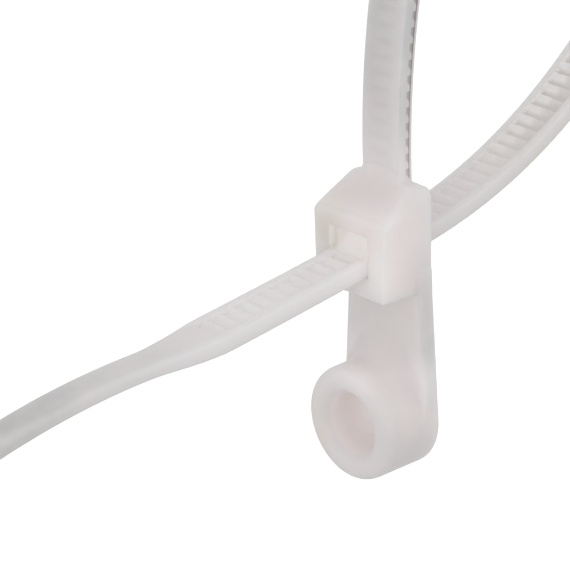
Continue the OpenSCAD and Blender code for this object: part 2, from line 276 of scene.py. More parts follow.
class Tie:
    """Sizes and places worked out from the settings, in metres, in the frame of the packed part"""

    # How far the straight run through the slot stands out at each end of the head
    OVER = 0.3 * MM
    # Flat of the crown in front of the strap's root
    CROWN_FLAT = 0.1 * MM
    # Lengths behind the head over which the twist grows and fades
    TWIST_GROWS = (5 * MM, 27 * MM)
    TWIST_FADES = (45 * MM, 75 * MM)

    def __init__(self, scene):
        """Takes the settings of a scene"""
        self.strap = scene.tie_strap
        self.loop = scene.tie_loop
        self.tail = scene.tie_tail
        self.head = scene.tie_head
        self.eyelet = scene.tie_eyelet
        self.work_out_section()
        self.work_out_head()
        self.work_out_route()
        self.work_out_teeth()

    def work_out_section(self):
        """Half sizes of the strap and the levels of its teeth"""
        strap = self.strap
        self.half_w = strap.width / 2
        self.half_t = strap.thickness / 2
        self.tip_v = self.half_t - strap.tip_below_rail
        self.floor_v = self.tip_v - strap.tooth
        self.half_ladder = self.half_w - strap.rail

    def work_out_head(self):
        """Levels and half sizes of the head, and the radii of the boss"""
        head, eyelet = self.head, self.eyelet
        half_slot = self.half_w + head.slot_clear
        self.half_head = half_slot + head.side_wall + head.edge_round / 2
        self.tilt = head.slot_tilt
        mid_rise = (head.slot_clear + self.half_t) / cos(self.tilt)
        self.slot_mid = eyelet.reach + head.floor_wall + mid_rise
        self.cavity_z = self.slot_mid + self.half_t + head.pawl_room
        self.front_top = self.cavity_z + head.roof_wall
        self.crown_z = self.front_top + head.crown_rise
        self.crown_back_z = self.crown_z - head.crown_fall
        self.crown_y = -head.root_inset - self.strap.thickness - self.CROWN_FLAT
        self.boss_r = eyelet.bore / 2 + eyelet.wall
        self.boss_back_r = self.boss_r + eyelet.length * tan(eyelet.draft)

    def work_out_route(self):
        """Runs of the strap's middle line with their bends, closed by two straights, and its marks"""
        loop, tail, head = self.loop, self.tail, self.head
        root_y = -head.root_inset - self.half_t
        root = (root_y, self.crown_z - head.root_depth, pi / 2 + loop.root_lean)
        back_z = self.slot_mid + (head.depth + self.OVER) * tan(self.tilt)
        rise_end = go(go(root, head.root_depth, 0), loop.rise, 1 / loop.rise_radius)
        back_start = go((self.OVER, back_z, self.tilt), loop.back, -1 / loop.return_radius)
        turn_from = rise_end[2]
        turn_to = back_start[2] - pi
        ease_radius = 2 * loop.far_radius
        bend_span = ease_radius * (side(turn_from) - side(turn_from - loop.ease))
        bend_span += loop.far_radius * (side(turn_from - loop.ease) - side(turn_to + loop.ease))
        bend_span += ease_radius * (side(turn_to + loop.ease) - side(turn_to))
        open_span = np.subtract(back_start[:2], rise_end[:2]) - bend_span
        turn = cross(ahead(turn_from), ahead(turn_to))
        slot_run = (head.depth + 2 * self.OVER) / cos(self.tilt)
        self.pieces = [
            (head.root_depth, 0),
            (loop.rise, 1 / loop.rise_radius),
            (cross(open_span, ahead(turn_to)) / turn, 0),
            (loop.ease * ease_radius, 1 / ease_radius),
            ((turn_from - turn_to - 2 * loop.ease) * loop.far_radius, 1 / loop.far_radius),
            (loop.ease * ease_radius, 1 / ease_radius),
            (cross(ahead(turn_from), open_span) / turn, 0),
            (loop.back, 1 / loop.return_radius),
            (slot_run, 0),
            (tail.lead, tail.lead_lift / tail.lead),
            (tail.bend, tail.bend_lift / tail.bend),
            (tail.run, 0),
            (tail.droop, -1 / tail.droop_radius),
        ]
        rise, slot, neck, thin = 2, 8, 10, 12
        self.poses = [root]
        self.marks = [0.0]
        for run, bend in self.pieces:
            self.poses.append(go(self.poses[-1], run, bend))
            self.marks.append(self.marks[-1] + run)
        self.end_s = self.marks[-1]
        self.rise_s = self.marks[rise]
        self.slot_s = self.marks[slot] + slot_run / 2
        self.lead_s = self.marks[slot + 1]
        self.neck_s = self.marks[neck]
        self.thin_s = self.marks[thin]
        self.back_s = self.slot_s - loop.back

    def work_out_teeth(self):
        """Places of the pawl in the slot and of the teeth along the strap"""
        head, pitch = self.head, self.strap.pitch
        self.pawl_tip_u = (head.depth / 2 - head.pawl_setback) / cos(self.tilt)
        self.pawl_root_u = (head.depth / 2 - head.room_depth) / cos(self.tilt)
        self.tooth_s = self.slot_s + self.pawl_tip_u + head.pawl_gap / 2
        self.first_tooth = ceil((self.marks[1] - self.tooth_s) / pitch) - 1
        self.last_tooth = floor((self.neck_s + self.tail.ladder_fade - self.tooth_s) / pitch)

    def pose(self, s):
        """Poses at lengths along the strap"""
        s = np.asarray(s, float)
        index = np.clip(np.searchsorted(self.marks, s, side="right") - 1, 0, len(self.pieces) - 1)
        out = np.empty((3,) + s.shape)
        for i, (run, bend) in enumerate(self.pieces):
            here = index == i
            out[:, here] = go(self.poses[i], s[here] - self.marks[i], bend)
        return out

    def twist(self, s):
        """Turn of the section about the middle line at lengths along the strap"""
        behind = self.slot_s - s
        grown = ease_between(behind, *self.TWIST_GROWS) - ease_between(behind, *self.TWIST_FADES)
        return self.loop.twist * grown

    def point(self, s, v):
        """Points (y, z) at lengths along the strap and heights over its middle line"""
        y, z, heading = self.pose(s)
        return y + v * np.sin(heading), z - v * np.cos(heading)

    def slot_y(self, u):
        """Place in depth of a point in the slot, at length u from the middle of the head to the front"""
        y, _, heading = self.pose(self.slot_s)
        return float(y + u * cos(heading))

    def nearest(self, y, z):
        """Length along the strap and height over its middle line, for points in side view"""
        best = np.full(y.shape, np.inf)
        along = np.zeros(y.shape)
        height = np.zeros(y.shape)
        for (run, bend), mark, pose in zip(self.pieces, self.marks, self.poses):
            dy, dz = y - pose[0], z - pose[1]
            forward, inward = ahead(pose[2]), side(pose[2])
            u = dy * forward[0] + dz * forward[1]
            v = dy * inward[0] + dz * inward[1]
            if bend:
                to_centre = 1 - v * bend
                v = (1 - np.hypot(u * bend, to_centre)) / bend
                u = np.arctan2(u * bend, to_centre) / bend
            outside = np.maximum(np.maximum(-u, u - run), 0)
            distance = np.hypot(outside, v)
            closer = distance < best
            best[closer] = distance[closer]
            along[closer] = (mark + np.clip(u, 0, run))[closer]
            height[closer] = v[closer]
        return along, height, best


# Strap mesh

# One tooth: places along its pitch, and its heights there, as shares of the pitch and of the height
TOOTH_PHASES = (0.0, 0.035, 0.08, 0.14, 0.23, 0.48, 0.70, 0.84)
TOOTH_HEIGHTS = (0.0, 0.45, 0.88, 1.0, 0.95, 0.48, 0.13, 0.0)


def tooth_height(phase):
    """Height of the toothed face over its floor, as a share of a tooth, over one pitch"""
    return np.interp(phase % 1.0, TOOTH_PHASES + (1.0,), TOOTH_HEIGHTS + (0.0,))


def strap_stations(tie):
    """Lengths along the strap at which its section is placed"""
    pitch, tail = tie.strap.pitch, tie.tail
    gap = 0.6 * MM
    root = np.linspace(gap, tie.head.root_depth, 4, endpoint=False)
    teeth = [
        tie.tooth_s + (j + phase) * pitch
        for j in range(tie.first_tooth, tie.last_tooth + 1) for phase in TOOTH_PHASES]
    teeth = [s for s in teeth if s > tie.head.root_depth]
    tip_s = tie.end_s - tail.width / 2
    smooth = np.linspace(teeth[-1], tip_s, int((tip_s - teeth[-1]) / gap))[1:]
    tip = tip_s + tail.width / 2 * np.sin(np.linspace(0, pi / 2, 9))[1:]
    return np.concatenate((root, teeth, smooth, tip))


def strap_section(tie, s):
    """Half sections at stations, from the middle of the outer face to the middle of the toothed
    face, as distances across the strap and heights over its middle line"""
    strap, tail = tie.strap, tie.tail
    outer_shares, ladder_shares = (0, 0.3, 0.6, 0.85), (0.8, 0.5, 0.2, 0)
    neck_s = tie.neck_s + tail.neck_start
    ramps = [
        np.clip((s + shift * tail.neck_ease - neck_s) / (tie.thin_s - neck_s), 0, 1)
        for shift in np.linspace(-1, 1, 9)]
    thin = np.mean(ramps, axis=0)
    half_w = tie.half_w + (tail.width / 2 - tie.half_w) * thin
    tip_s = tie.end_s - tail.width / 2
    almost_end = 0.9995
    past_tip = np.clip((s - tip_s) / (tail.width / 2), 0, almost_end)
    half_w = half_w * np.sqrt(1 - past_tip ** 2)
    top = tie.half_t - (strap.thickness - tail.thickness) * thin
    bottom = np.full_like(s, -tie.half_t)
    ladder = (tie.half_ladder - tail.edge_round * thin) * half_w / tie.half_w
    phase = (s - tie.tooth_s) / strap.pitch
    level = tie.floor_v + strap.tooth * tooth_height(phase)
    fade_s = tie.neck_s - 0.4 * MM
    fade = 1 - ease_between(s, fade_s, tie.neck_s + tail.ladder_fade)
    level = np.minimum(top - (top - level) * fade, top)
    outer = np.minimum(strap.outer_round, 0.6 * half_w)
    rim = strap.rail_round * half_w / tie.half_w
    edge = strap.edge_round + (tail.edge_round - strap.edge_round) * thin
    edge = np.minimum(edge, 0.9 * (half_w - ladder - rim))
    rim_drop = np.minimum(rim, (top - level) / 2)
    rows = []
    for share_out in outer_shares:
        rows.append((share_out * (half_w - outer), bottom))
    for turn in np.linspace(0, pi / 2, 7):
        rows.append((half_w - outer + outer * sin(turn), bottom + outer - outer * cos(turn)))
    rows.append((half_w, (bottom + top) / 2))
    for turn in np.linspace(0, pi / 2, 5):
        rows.append((half_w - edge + edge * cos(turn), top - edge + edge * sin(turn)))
    for turn in np.linspace(0, pi / 2, 3):
        rows.append((ladder + rim * (1 - sin(turn)), top - rim_drop * (1 - cos(turn))))
    rows.append((ladder - 0.25 * rim, level + 0.25 * rim_drop))
    rows.append((ladder - rim, level))
    for share_out in ladder_shares:
        rows.append((share_out * (ladder - rim), level))
    across = np.stack([np.broadcast_to(row[0], s.shape) for row in rows], axis=1)
    height = np.stack([np.broadcast_to(row[1], s.shape) for row in rows], axis=1)
    return across, height


def strap_mesh(tie):
    """Closed mesh of the toothed strap with its tail: points and faces"""
    s = strap_stations(tie)
    across, height = strap_section(tie, s)
    across = np.concatenate((across, -across[:, -2:0:-1]), axis=1)
    height = np.concatenate((height, height[:, -2:0:-1]), axis=1)
    turn = tie.twist(s)[:, None]
    x = across * np.cos(turn) + height * np.sin(turn)
    over = height * np.cos(turn) - across * np.sin(turn)
    y, z = tie.point(np.broadcast_to(s[:, None], x.shape), over)
    points = np.stack((x, y, z), axis=2)
    rings, around = across.shape
    number = np.arange(rings * around).reshape(rings, around)
    after = np.roll(number, -1, axis=1)
    quads = np.stack((number[:-1], after[:-1], after[1:], number[1:]), axis=2).reshape(-1, 4)
    faces = quads.tolist() + [number[0, ::-1].tolist(), number[-1].tolist()]
    return points.reshape(-1, 3), faces


# Head and eyelet, as the surface where a field of distances changes sign

# Width of a smooth blend that looks like a round fillet, as a share of the fillet's radius
BLEND = 1.2


def join(a, b, fillet):
    """Distance to the union of two solids, with a fillet where they meet"""
    blend = BLEND * fillet
    near = np.maximum(blend - np.abs(a - b), 0) / blend
    return np.minimum(a, b) - near * near * blend / 4


def meet(a, b, rounding):
    """Distance to what two solids share, with a rounding along the edge"""
    return -join(-a, -b, rounding)


def cut(a, b, rounding):
    """Distance to the first solid less the second, with a rounding along the edge"""
    return -join(-a, b, rounding)


def outline(points, p, q, rounding):
    """Distance to a convex outline, whose corners run anticlockwise in the plane of p and q"""
    inside = None
    for (p0, q0), (p1, q1) in zip(points, points[1:] + points[:1]):
        run = hypot(p1 - p0, q1 - q0)
        edge = ((p - p0) * (q1 - q0) - (q - q0) * (p1 - p0)) / run
        inside = edge if inside is None else meet(inside, edge, rounding)
    return inside


def head_distance(tie, x, y, z):
    """Distance to the head without its slot, with a stub of the strap's root"""
    head, reach = tie.head, tie.eyelet.reach
    back = head.depth / 2
    profile = outline(
        [(-head.depth, reach), (back, reach), (back, tie.crown_back_z - head.crown_fall),
         (tie.crown_y, tie.crown_z), (-head.depth, tie.front_top)], y, z, head.edge_round)
    low = np.clip((tie.front_top - z) / (tie.front_top - reach), 0, 1)
    low = low * np.clip(-(y + tie.eyelet.tab) / (head.depth - tie.eyelet.tab), 0, 1)
    flank = x - tie.half_head + head.taper * low
    rise = head.shoulder_rise / head.depth
    steep = np.sqrt(head.shoulder_slope ** 2 + rise ** 2 + 1)
    over_shoulder = z - tie.front_top - rise * (y + head.depth)
    shoulder = (over_shoulder + head.shoulder_slope * (x - tie.half_head)) / steep
    block = meet(meet(profile, flank, head.edge_round), shoulder, head.edge_round)
    skin = 0.03 * MM
    stub_end = head.root_depth + 1.6 * head.root_fillet
    root = tie.poses[0]
    forward, inward = ahead(root[2]), side(root[2])
    u = (y - root[0]) * forward[0] + (z - root[1]) * forward[1]
    v = (y - root[0]) * inward[0] + (z - root[1]) * inward[1]
    stub = meet(x - tie.half_w + skin, -tie.half_t + skin - v, tie.strap.outer_round)
    stub = np.maximum(stub, v - tie.floor_v + skin)
    stub = np.maximum(stub, np.maximum(-u, u - stub_end))
    less_at_sides = 0.35 * ease_between(x, 0.5 * tie.half_w, tie.half_w)
    return join(block, stub, head.root_fillet * (1 - less_at_sides))


def slot_distance(tie, x, y, z):
    """Distance to the way through the head, with the open room over the pawl"""
    head = tie.head
    v = (z - tie.slot_mid - (y + head.depth) * tan(tie.tilt)) * cos(tie.tilt)
    half = tie.half_t + head.slot_clear
    flank = x - tie.half_w - head.side_clear
    from_end = head.depth / 2 - np.abs(y + head.depth / 2)
    way = np.maximum(np.maximum(flank, np.abs(v) - half), from_end - head.slot_depth)
    room = np.maximum(np.maximum(flank, tie.floor_v - v), z - tie.cavity_z)
    return np.minimum(way, np.maximum(room, y + head.depth - head.room_depth))


def pawl_distance(tie, x, y, z):
    """Distance to the pawl, rooted at the back of its room with its tip between the teeth"""
    head = tie.head
    heel, heel_toe, tip = 0.3 * MM, 0.2 * MM, 0.1 * MM
    soft, crisp, toe_fillet, side_round = 0.2 * MM, 0.05 * MM, 0.3 * MM, 0.25 * MM
    v = (z - tie.slot_mid - (y + head.depth) * tan(tie.tilt)) * cos(tie.tilt)
    front_u = tie.pawl_tip_u
    u = front_u + (tie.slot_y(front_u) - y) / cos(tie.tilt)
    root_u = tie.pawl_root_u - heel
    top = tie.half_t + head.slot_clear
    over_tip = tie.tip_v + head.pawl_gap
    roof = top + head.pawl_room
    blade = outline([(root_u, top), (front_u, over_tip), (front_u, roof), (root_u, roof)], u, v, soft)
    catch = tie.floor_v + head.pawl_gap
    nose_u = front_u - 0.7 * tie.strap.pitch
    nose = outline(
        [(nose_u, over_tip), (front_u - tip, catch), (front_u, catch), (front_u, top + heel),
         (nose_u, top + heel)], u, v, crisp)
    toe = outline(
        [(front_u - heel_toe, catch), (front_u + head.pawl_toe, tie.floor_v - crisp),
         (front_u, tie.half_t), (front_u - heel_toe, tie.half_t)], u, v, crisp)
    half = tie.half_w - head.pawl_side_gap
    return meet(join(join(blade, nose, crisp), toe, toe_fillet), x - half, side_round)


def eyelet_distance(tie, x, y, z):
    """Distance to the tab and the boss without its bore"""
    eyelet = tie.eyelet
    around = np.hypot(x, z)
    radius = tie.boss_r + (y + eyelet.length) * tan(eyelet.draft)
    boss = meet((around - radius) * cos(eyelet.draft), -eyelet.length - y, eyelet.rim_round)
    top = eyelet.reach + tie.head.floor_wall
    touch = atan2(top, tie.half_head) - acos(tie.boss_back_r / hypot(tie.half_head, top))
    flank = x * cos(touch) + z * sin(touch) - tie.boss_back_r
    slab = meet(flank, -eyelet.tab - y, eyelet.tab_round)
    slab = np.maximum(np.maximum(slab, z - top), tie.boss_back_r * sin(touch) - z)
    less_at_sides = 0.7 * ease_between(x, 0.4 * tie.boss_r, 0.9 * tie.boss_r)
    return np.maximum(join(boss, slab, eyelet.tab_fillet * (1 - less_at_sides)), flank)


def moulding_distance(tie, x, y, z):
    """Distance to head, pawl, tab and boss as one moulding with a flat back"""
    x = np.abs(x)
    head, eyelet = tie.head, tie.eyelet
    back_round, pawl_fillet = 0.08 * MM, 0.15 * MM
    solid = join(head_distance(tie, x, y, z), eyelet_distance(tie, x, y, z), head.edge_round)
    solid = meet(solid, y, back_round)
    solid = cut(solid, np.hypot(x, z) - eyelet.bore / 2, eyelet.bore_round)
    solid = cut(solid, slot_distance(tie, x, y, z), head.mouth_round)
    return join(solid, pawl_distance(tie, x, y, z), pawl_fillet)


def pulled_in(distance, points, cell):
    """Points moved onto the surface, each by half a cell at most along each axis"""
    start = points.copy()
    step = 0.05 * cell
    flattest = 0.25
    rounds = 5
    for _ in range(rounds):
        value = distance(*points.T)
        slope = np.empty_like(points)
        for axis in range(3):
            shift = np.zeros(3)
            shift[axis] = step
            slope[:, axis] = distance(*(points + shift).T) - distance(*(points - shift).T)
        slope /= 2 * step
        squared = np.maximum((slope ** 2).sum(axis=1), flattest)
        points = points - slope * (value / squared)[:, None]
        points = start + np.clip(points - start, -0.5 * cell, 0.5 * cell)
    return points


def skin_mesh(distance, low, high, cell):
    """Closed mesh of quads where a distance changes sign: points and faces. Each cell that the
    surface crosses has one point, which starts at the mean of the crossings on the cell's edges"""
    axes = [np.arange(a, b + cell, cell) for a, b in zip(low, high)]
    value = distance(*np.meshgrid(*axes, indexing="ij", sparse=True))
    inside = value < 0
    shape = np.array(inside.shape) - 1
    filled = np.zeros(shape, int)
    for corner in product((0, 1), repeat=3):
        filled += inside[tuple(slice(c, c + n) for c, n in zip(corner, shape))]
    crossed = (filled > 0) & (filled < 8)
    number = np.full(shape, -1)
    number[crossed] = np.arange(crossed.sum())
    total = np.zeros((crossed.sum(), 3))
    edges = np.zeros((crossed.sum(), 1))
    faces = []
    for axis in range(3):
        first, second = (axis + 1) % 3, (axis + 2) % 3
        here = np.moveaxis(inside, axis, 0)
        change = np.argwhere(np.moveaxis(here[:-1] != here[1:], 0, axis))
        leaving = inside[tuple(change.T)]
        end = change.copy()
        end[:, axis] += 1
        start_value, end_value = value[tuple(change.T)], value[tuple(end.T)]
        crossing = change.astype(float)
        crossing[:, axis] += start_value / (start_value - end_value)
        around = []
        for step_first, step_second in ((0, 0), (-1, 0), (-1, -1), (0, -1)):
            cell_at = change.copy()
            cell_at[:, first] += step_first
            cell_at[:, second] += step_second
            around.append(number[tuple(cell_at.T)])
            np.add.at(total, around[-1], crossing)
            np.add.at(edges, around[-1], 1)
        quads = np.stack(around, axis=1)
        quads[~leaving] = quads[~leaving][:, ::-1]
        faces.append(quads)
    middles = np.array([axis[0] for axis in axes]) + total / edges * cell
    return pulled_in(distance, middles, cell), np.concatenate(faces).tolist()


# One mesh of both, with what the finish needs to know at each point

def new_object(name, points, faces):
    """Mesh object in the scene"""
    mesh = bpy.data.meshes.new(name)
    mesh.from_pydata(np.asarray(points).tolist(), [], faces)
    mesh.validate()
    obj = bpy.data.objects.new(name, mesh)
    bpy.context.collection.objects.link(obj)
    return obj


def fused(obj, other):
    """Fuses the second object into the first one's mesh"""
    union = obj.modifiers.new("Fuse", "BOOLEAN")
    union.operation = "UNION"
    union.solver = "MANIFOLD"
    union.object = other
    depsgraph = bpy.context.evaluated_depsgraph_get()
    mesh = bpy.data.meshes.new_from_object(obj.evaluated_get(depsgraph))
    obj.modifiers.clear()
    old = obj.data
    obj.data = mesh
    bpy.data.meshes.remove(old)
    mesh.name = obj.name
    bpy.data.objects.remove(other)


def corners_of(mesh):
    """Points of a mesh as an array"""
    flat = np.empty(3 * len(mesh.vertices))
    mesh.vertices.foreach_get("co", flat)
    return flat.reshape(-1, 3)


def mark_points(mesh, name, values):
    """Stores a value at each point of a mesh"""
    attribute = mesh.attributes.new(name, "FLOAT", "POINT")
    attribute.data.foreach_set("value", np.asarray(values, np.float32))


class Surface:
    """Points of the finished mesh, with what their marks are worked out from"""

    # How far a point may lie off a face and still count as part of it
    SLACK = 0.03 * MM

    def __init__(self, tie, mesh):
        """Reads the points and how far each faces to a side or to the front"""
        self.tie = tie
        self.points = corners_of(mesh)
        self.x, self.y, self.z = self.points.T
        normals = np.empty(3 * len(self.points))
        mesh.vertex_normals.foreach_get("vector", normals)
        self.sideways = np.abs(normals[0::3])
        self.forwards = -normals[1::3]
        self.on_edge = 4 * self.sideways * (1 - self.sideways)
        self.place_on_strap()
        self.find_teeth()

    def place_on_strap(self):
        """Works out where each point lies along the strap, across it and over its middle line"""
        tie = self.tie
        self.along, over, distance = tie.nearest(self.y, self.z)
        turn = tie.twist(self.along)
        self.across = self.x * np.cos(turn) - over * np.sin(turn)
        self.height = over * np.cos(turn) + self.x * np.sin(turn)
        self.on_strap = self.along > tie.head.root_depth
        self.on_strap &= distance < tie.half_t + tie.half_w * np.sin(turn) + self.SLACK
        self.on_strap &= np.abs(self.across) < tie.half_w + self.SLACK
        self.on_strap &= np.abs(self.height) < tie.half_t + self.SLACK
        self.behind = tie.slot_s - self.along
        self.rising = 1 - ease_between(self.along, tie.rise_s, tie.rise_s + 10 * MM)

    def find_teeth(self):
        """Works out which points lie between the rails, and how high over the floor there"""
        tie = self.tie
        self.on_teeth = self.on_strap & (np.abs(self.across) < tie.half_ladder)
        self.on_teeth &= self.height > tie.floor_v - self.SLACK
        self.over_floor = np.clip((self.height - tie.floor_v) / tie.strap.tooth, 0, 1)
        # The far half of the ladder gets painted light on its tooth tops, and the near half painted shade
        # as if cast by the near rail
        self.far_half = 1 - ease_between(self.across, -0.4 * MM, 0.5 * MM)
        self.from_head = ease_between(self.behind, 12 * MM, 22 * MM)

    def patch(self, middle, size):
        """Soft round patch, 1 in its middle"""
        return np.exp(-(np.linalg.norm(self.points - np.array(middle), axis=1) / size) ** 2)


def eyelet_painted_shade(at):
    """Painted shade on the tab and the boss, as how far they turn to the strap's grey: darker towards the
    bottom of the boss, on its sides and over its right rim, and on the tab below the head, on its sides and
    along its edges
    """
    eyelet, radius = at.tie.eyelet, at.tie.boss_r
    # Painted shade: the boss's foot, sides and right rim, and the tab in the head's shadow, with its lit
    # side and edge toned down
    boss_foot, boss_side, boss_rim = 0.22, 0.25, 0.25
    tab_front, tab_side, tab_edge = 0.35, 0.45, 0.2
    on_tab = ease_between(at.z, 0.8 * radius, 1.5 * radius)
    on_tab *= ease_between(at.y, -eyelet.tab - 1.5 * MM, -eyelet.tab - at.SLACK)
    on_rim = np.exp(-((np.hypot(at.x, at.z) - radius + 0.5 * MM) / (0.9 * MM)) ** 2)
    on_rim *= 1 - ease_between(at.y + eyelet.length, 0.3 * MM, 2.5 * MM)
    on_rim *= ease_between(at.x, 0.2 * radius, 0.6 * radius) * ease_between(at.z, -0.8 * radius, 0)
    boss = boss_foot * (1 - ease_between(at.z, -radius, radius))
    boss += boss_side * at.sideways * (1 - on_tab) + boss_rim * on_rim
    tab = on_tab * (tab_front + tab_side * at.sideways + tab_edge * at.on_edge)
    fading = 1 - ease_between(at.z, eyelet.reach - 1 * MM, eyelet.reach + 4.5 * MM)
    return (boss + tab) * np.where(at.forwards > 0.5, at.z < eyelet.reach, fading)


def moulding_painted_shade(at):
    """Painted shade on the thick mouldings, as how far they turn to the strap's grey: low on the head's
    sides, on its top, in the corner left of the slot and along the front's top edge, with the painted shade
    of the tab and boss
    """
    tie, head, reach = at.tie, at.tie.head, at.tie.eyelet.reach
    # Painted shade: darker low on the sides, on the top, in the corner by the slot, and over the front top
    # edge's highlight
    low_side, crown, slot_corner, front_edge = 0.38, 0.2, 0.35, 0.12
    near_foot = (at.z > reach) * (1 - ease_between(at.z, reach + 1 * MM, reach + 6 * MM))
    grey = np.maximum(eyelet_painted_shade(at), low_side * at.sideways * near_foot)
    grey += crown * ease_between(at.z, tie.front_top, tie.front_top + 1.5 * MM)
    grey += slot_corner * at.patch((-2.3 * MM, -head.depth, tie.slot_mid + 1.8 * MM), 1.5 * MM)
    on_front = at.y < 0.5 * MM - head.depth
    return grey + front_edge * on_front * np.exp(-((at.z - tie.front_top) / (0.6 * MM)) ** 2)


def strap_grey_and_painted_shading(at):
    """How grey the strap is: the thin strap's own grey along its length, with painted shade on the rising
    part, on its left side and side faces, over its edge highlights and in the gaps between its teeth, and
    painted light on the sides of the tail
    """
    tie, along, root_s = at.tie, at.along, at.tie.head.root_depth
    # Grey along the strap: the thin strap's own grey, deepened by painted shade where the rising part faces
    # away from the light
    levels = [
        (root_s + 0.5 * MM, 0.2), (root_s + 7 * MM, 0.62), (tie.rise_s, 0.75), (tie.back_s, 0.26),
        (tie.slot_s - tie.head.depth, 0.24), (tie.slot_s, 0.1), (tie.neck_s - 4 * MM, 0.0),
        (tie.neck_s + 2 * MM, 0.15), (tie.thin_s, 0.45), (tie.thin_s + 5 * MM, 0.6),
        (tie.end_s - 12 * MM, 1.0)]
    across, rising_side_shade, tail_side_light = 0.25, 0.35, 0.12
    rising_edge_shade, edge, gaps = 0.2, 0.13, 0.18
    # Painted shade: the rising part darker on its left side, away from the light, and on its side faces
    grey = np.interp(along, *zip(*levels)) * (1 - across * at.rising * at.x / tie.half_w)
    on_side = ease_between(at.sideways, 0.5, 0.9) * ease_between(along, 3 * MM, 8 * MM)
    grey += rising_side_shade * at.rising * on_side
    # Painted light: the tail's side faces lighter
    on_tail = ease_between(along, tie.neck_s, tie.thin_s)
    on_tail -= ease_between(along, tie.thin_s + 4 * MM, tie.end_s - 9 * MM)
    grey -= tail_side_light * ease_between(at.sideways, 0.3, 0.8) * on_tail
    # Painted shade over the edges' highlights, and in the gaps between the teeth and on the ladder's half
    # by the near rail
    grey += at.on_edge * np.where(at.rising > 0.5, rising_edge_shade * (at.forwards > 0), edge)
    return grey + gaps * at.on_teeth * (1 - at.over_floor * at.far_half) * at.from_head


def painted_light_on_teeth(at):
    """How much painted light the toothed face gets from behind the head to the neck: evenly near the head,
    on the tooth tops of the ladder's far half further back, and more in the gaps in front of the head, at
    the mouth and towards the neck
    """
    tie, along = at.tie, at.along
    plain, tops, neck, gaps, mouth = 0.5, 0.88, 0.5, 0.4, 0.5
    # Painted light lifting the shade between the teeth and lighting their tops
    far = tops * ease_between(at.over_floor, 0, 0.5) * at.far_half
    painted_light = plain + (far - plain) * at.from_head
    painted_light += neck * ease_between(along, tie.lead_s, tie.neck_s)
    painted_light += gaps * (0.5 - at.over_floor) * ease_between(along, tie.slot_s, tie.lead_s)
    painted_light += mouth * (1 - ease_between(np.abs(along - tie.lead_s), 1 * MM, 4 * MM))
    painted_light *= 1 - ease_between(along, tie.neck_s - 3 * MM, tie.neck_s + tie.tail.ladder_fade)
    return painted_light * at.on_teeth


def pawl_room(at):
    """Which points lie in the room around the pawl, and how far each is out of its corner: the open part
    gets painted light and the corner painted shade
    """
    tie, head = at.tie, at.tie.head
    slant = 0.83
    inside = np.abs(at.x) < tie.half_w + 2 * at.SLACK
    inside &= (at.y > at.SLACK - head.depth) & (at.y < head.room_depth + at.SLACK - head.depth)
    inside &= (at.z > tie.slot_mid + tie.floor_v) & (at.z < tie.cavity_z + at.SLACK)
    # The lit part of the room; the rest is the corner that gets painted shade
    lit = ease_between(at.x - slant * (at.z - tie.slot_mid - 0.9 * MM), -2.5 * MM, -1.2 * MM)
    return inside, lit


def painted_light_amount(at):
    """How much painted light each point gets: on the teeth, in a patch beside the slot standing in for
    light through the nylon, in the bore, on the top of the boss, and in the room around the pawl, less in
    its corner
    """
    tie, depth, eyelet = at.tie, at.tie.head.depth, at.tie.eyelet
    bore, boss_top, shaded_room = 0.52, 0.6, 0.48
    bore_r = eyelet.bore / 2
    rim_r = bore_r + 0.25 * eyelet.bore_round
    in_bore = 1 - ease_between(np.hypot(at.x, at.z), bore_r + at.SLACK, rim_r)
    by_slot = at.patch((2.2 * MM, -depth, tie.slot_mid - 0.5 * MM), 3.6 * MM)
    on_boss = at.patch((1 * MM, 0.5 * MM - eyelet.length, tie.boss_r - 0.4 * MM), 2.2 * MM)
    in_room, lit = pawl_room(at)
    room = in_room * (shaded_room + (1 - shaded_room) * lit)
    return np.maximum.reduce((painted_light_on_teeth(at), by_slot, bore * in_bore, boss_top * on_boss, room))


def warmth(at):
    """How far each point turns to the warm tint of the head's corner, the boss and the strap's back"""
    tie, radius = at.tie, at.tie.boss_r
    boss, strap = 0.5, 0.35
    boss_front = (at.z < tie.eyelet.reach) * ease_between(at.forwards, 0.5, 0.9)
    boss_front *= at.y < 1.5 * MM - tie.eyelet.length
    boss_front *= 1 - ease_between(at.x, -0.9 * radius, -0.2 * radius)
    head_corner = at.patch((-3 * MM, -tie.head.depth, tie.cavity_z), 2.6 * MM)
    on_line = strap * ease_between(at.behind, 10 * MM, 18 * MM) * (1 - at.rising)
    return np.where(at.on_strap, on_line, head_corner + boss * boss_front)


def mark_finish(tie, mesh):
    """Stores what the finish needs at each point: its tooth and its height over the floor between the
    teeth, how grey it is with painted shade, how much painted light and warm tint it gets, how far it lies
    in the corner beside the pawl that gets painted shade, and how strongly the painted shade of the teeth
    shows"""
    at = Surface(tie, mesh)
    in_room, lit = pawl_room(at)
    shows = [(tie.head.root_depth, 0.7), (tie.rise_s, 1.0), (tie.back_s, 0.0)]
    # Grey with painted shade, painted light, painted shade in the corner beside the pawl, a warm tint, and
    # the strength of the painted shade of the teeth
    marks = {
        "tooth": (at.along - tie.tooth_s) / tie.strap.pitch,
        "height": (at.height - tie.floor_v) / tie.strap.tooth,
        "thin": np.where(at.on_strap, strap_grey_and_painted_shading(at), moulding_painted_shade(at)),
        "painted_light": painted_light_amount(at),
        "pocket_shade": in_room * (1 - lit),
        "honey": warmth(at),
        "toothed": at.on_strap * np.interp(at.along, *zip(*shows)),
    }
    for name, values in marks.items():
        mark_points(mesh, name, values)


# Finish

def add_node(tree, kind, x, y, **values):
    """Node with its place in the tree; values go to its settings or, by name, to its inputs"""
    node = tree.nodes.new(kind)
    node.location = (x, y)
    for name, value in values.items():
        if hasattr(node, name):
            setattr(node, name, value)
        else:
            node.inputs[name.replace("_", " ")].default_value = value
    return node


